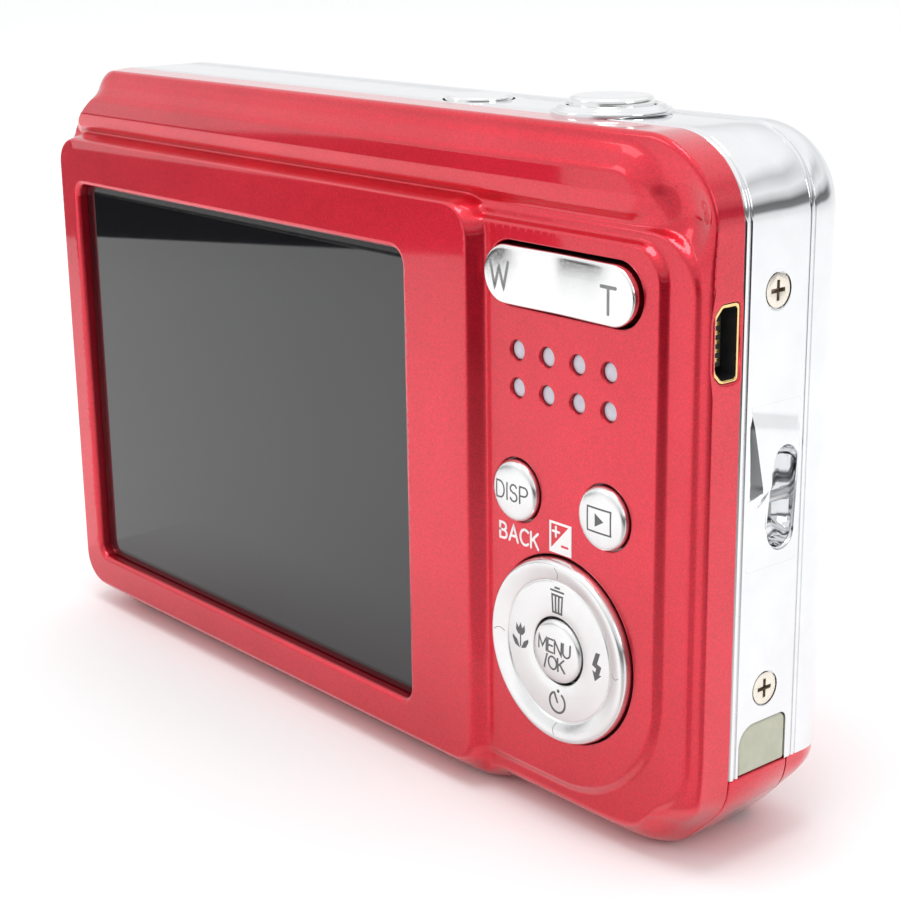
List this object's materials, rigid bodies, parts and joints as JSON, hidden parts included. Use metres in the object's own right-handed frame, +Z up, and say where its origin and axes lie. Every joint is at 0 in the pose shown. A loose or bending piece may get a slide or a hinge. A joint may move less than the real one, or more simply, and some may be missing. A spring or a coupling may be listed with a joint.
{
  "type": "compact digital camera",
  "caption": "Flat pocket camera with a screen and keys on the back, a retracting zoom lens, a sliding battery door, a chrome side frame and a strap lug.",
  "frame": {"origin": "bottom centre of the whole object's box, on the surface it stands on", "axes": "+X along the width away from the hand grip, +Y out of the back with the screen, +Z up; the lens looks along -Y"},
  "size_m": [0.093, 0.0226, 0.0613],
  "materials": {
    "red_paint": "glossy metallic red paint with a clear coat",
    "bright_chrome": "polished chrome plating",
    "sheet_steel": "plain stamped sheet",
    "pin_steel": "turned steel",
    "beige_rubber": "matte moulded rubber",
    "brass_insert": "turned brass",
    "nickel_screw": "warm nickel plate",
    "window_glass": "hard-coated clear window over a dark screen",
    "screen_black": "dark screen, off",
    "key_silver": "satin silver plating",
    "grey_plastic": "moulded acetal",
    "circuit_board": "green solder mask",
    "black_plastic": "moulded black plastic",
    "barrel_metal": "anodised silver",
    "blade_black": "black coated steel",
    "lens_glass": "coated optical glass",
    "sensor": "cover glass on a sensor",
    "clear_plastic": "frosted clear plastic",
    "reflector": "bright reflector",
    "capacitor_sleeve": "shrink sleeve",
    "amber_plastic": "clear amber",
    "mesh_grey": "woven mesh",
    "gold_plate": "gold plate",
    "battery_wrap": "dark grey wrap",
    "card_blue": "moulded card"
  },
  "bodies": {
    "root": {"rear_cover": "red_paint", "front_cover": "red_paint", "center_frame": "bright_chrome", "front_trim": "bright_chrome", "lens_ring": "bright_chrome", "strap_lug": "bright_chrome", "shutter_ring": "bright_chrome", "tripod_socket": "brass_insert", "side_screws": "nickel_screw", "lcd_window": "window_glass", "lcd_panel": "screen_black", "lcd_frame": "sheet_steel", "key_board": "circuit_board", "dome_switches": "pin_steel", "main_board": "circuit_board", "board_chips": "black_plastic", "chassis": "sheet_steel", "lens_housing": "black_plastic", "focus_lens": "lens_glass", "focus_carrier": "black_plastic", "image_sensor": "sensor", "sensor_board": "circuit_board", "zoom_motor": "pin_steel", "zoom_gearbox": "black_plastic", "flash_window": "clear_plastic", "flash_lamp": "reflector", "flash_capacitor": "capacitor_sleeve", "focus_lamp_window": "amber_plastic", "microphone": "pin_steel", "speaker": "black_plastic", "speaker_mesh": "mesh_grey", "usb_shell": "gold_plate", "usb_tongue": "black_plastic", "battery_chamber": "black_plastic", "battery": "battery_wrap", "battery_contacts": "gold_plate", "card_slot": "sheet_steel", "memory_card": "card_blue", "internal_screws": "pin_steel"},
    "shutter_button": {"shutter_button": "bright_chrome"},
    "power_button": {"power_button": "bright_chrome"},
    "zoom_rocker": {"zoom_rocker": "key_silver"},
    "display_button": {"display_button": "key_silver"},
    "playback_button": {"playback_button": "key_silver"},
    "ok_button": {"ok_button": "key_silver"},
    "dpad_actuator": {"dpad_actuator": "grey_plastic"},
    "dpad_ring": {"dpad_ring": "key_silver"},
    "door_bracket": {"door_bracket": "sheet_steel", "door_pin": "pin_steel"},
    "battery_door": {"battery_door": "red_paint"},
    "dc_cover": {"dc_cover": "beige_rubber"},
    "outer_barrel": {"outer_barrel": "barrel_metal"},
    "inner_barrel": {"inner_barrel": "barrel_metal", "front_lens": "lens_glass", "zoom_lens": "lens_glass", "shutter_unit": "black_plastic"},
    "barrier_upper": {"barrier_upper": "blade_black"},
    "barrier_lower": {"barrier_lower": "blade_black"},
    "cam_ring": {"cam_ring": "grey_plastic"}
  },
  "joints": [
    {"name": "shutter_press", "type": "slide", "parent": "root", "child": "shutter_button", "axis": [0, 0, -1], "range_m": [0, 0.0009], "stiffness_N_per_m": 900, "springref_m": -0.0003},
    {"name": "power_press", "type": "slide", "parent": "root", "child": "power_button", "axis": [0, 0, -1], "range_m": [0, 0.0004], "stiffness_N_per_m": 1200, "springref_m": -0.0003},
    {"name": "zoom_rock", "type": "hinge", "parent": "root", "child": "zoom_rocker", "pos_m": [-0.03105, 0.008, 0.0474], "axis": [0, 0, 1], "range_deg": [-3.5, 3.5], "stiffness_Nm_per_rad": 0.06},
    {"name": "display_press", "type": "slide", "parent": "root", "child": "display_button", "axis": [0, -1, 0], "range_m": [0, 0.0004], "stiffness_N_per_m": 1000, "springref_m": -0.0003},
    {"name": "playback_press", "type": "slide", "parent": "root", "child": "playback_button", "axis": [0, -1, 0], "range_m": [0, 0.0004], "stiffness_N_per_m": 1000, "springref_m": -0.0003},
    {"name": "ok_press", "type": "slide", "parent": "root", "child": "ok_button", "axis": [0, -1, 0], "range_m": [0, 0.0004], "stiffness_N_per_m": 1000, "springref_m": -0.0003},
    {"name": "dpad_up_down", "type": "hinge", "parent": "root", "child": "dpad_actuator", "pos_m": [-0.03115, 0.0085, 0.01635], "axis": [1, 0, 0], "range_deg": [-2.8, 2.8], "stiffness_Nm_per_rad": 0.05},
    {"name": "dpad_left_right", "type": "hinge", "parent": "dpad_actuator", "child": "dpad_ring", "pos_m": [-0.03115, 0.0085, 0.01635], "axis": [0, 0, 1], "range_deg": [-2.8, 2.8], "stiffness_Nm_per_rad": 0.05},
    {"name": "door_slide", "type": "slide", "parent": "root", "child": "door_bracket", "axis": [-1, 0, 0], "range_m": [0, 0.0025]},
    {"name": "door_hinge", "type": "hinge", "parent": "door_bracket", "child": "battery_door", "pos_m": [-0.00985, 0, 0.001], "axis": [0, -1, 0], "range_deg": [0, 90]},
    {"name": "dc_cover_hinge", "type": "hinge", "parent": "root", "child": "dc_cover", "pos_m": [-0.04585, -0.0015, 0.0102], "axis": [0, 0, 1], "range_deg": [0, 90], "stiffness_Nm_per_rad": 0.0004},
    {"name": "barrel_extend", "type": "slide", "parent": "root", "child": "outer_barrel", "axis": [0, -1, 0], "range_m": [0, 0.0105]},
    {"name": "inner_extend", "type": "slide", "parent": "outer_barrel", "child": "inner_barrel", "axis": [0, -1, 0], "range_m": [0, 0.008]},
    {"name": "cam_turn", "type": "hinge", "parent": "root", "child": "cam_ring", "pos_m": [0.01235, 0, 0.029], "axis": [0, -1, 0], "range_deg": [0, 70]},
    {"name": "barrier_upper_open", "type": "hinge", "parent": "inner_barrel", "child": "barrier_upper", "pos_m": [0.00415, -0.01, 0.02903], "axis": [0, -1, 0], "range_deg": [0, 32]},
    {"name": "barrier_lower_open", "type": "hinge", "parent": "inner_barrel", "child": "barrier_lower", "pos_m": [0.02055, -0.01, 0.02897], "axis": [0, -1, 0], "range_deg": [0, 32]}
  ],
  "couplings": [
    {"joint": "inner_extend", "follows": "barrel_extend", "ratio": 0.76},
    {"joint": "cam_turn", "follows": "barrel_extend", "rad_per_m": 116},
    {"joint": "barrier_upper_open", "follows": "barrel_extend", "rad_per_m": 53},
    {"joint": "barrier_lower_open", "follows": "barrel_extend", "rad_per_m": 53}
  ]
}
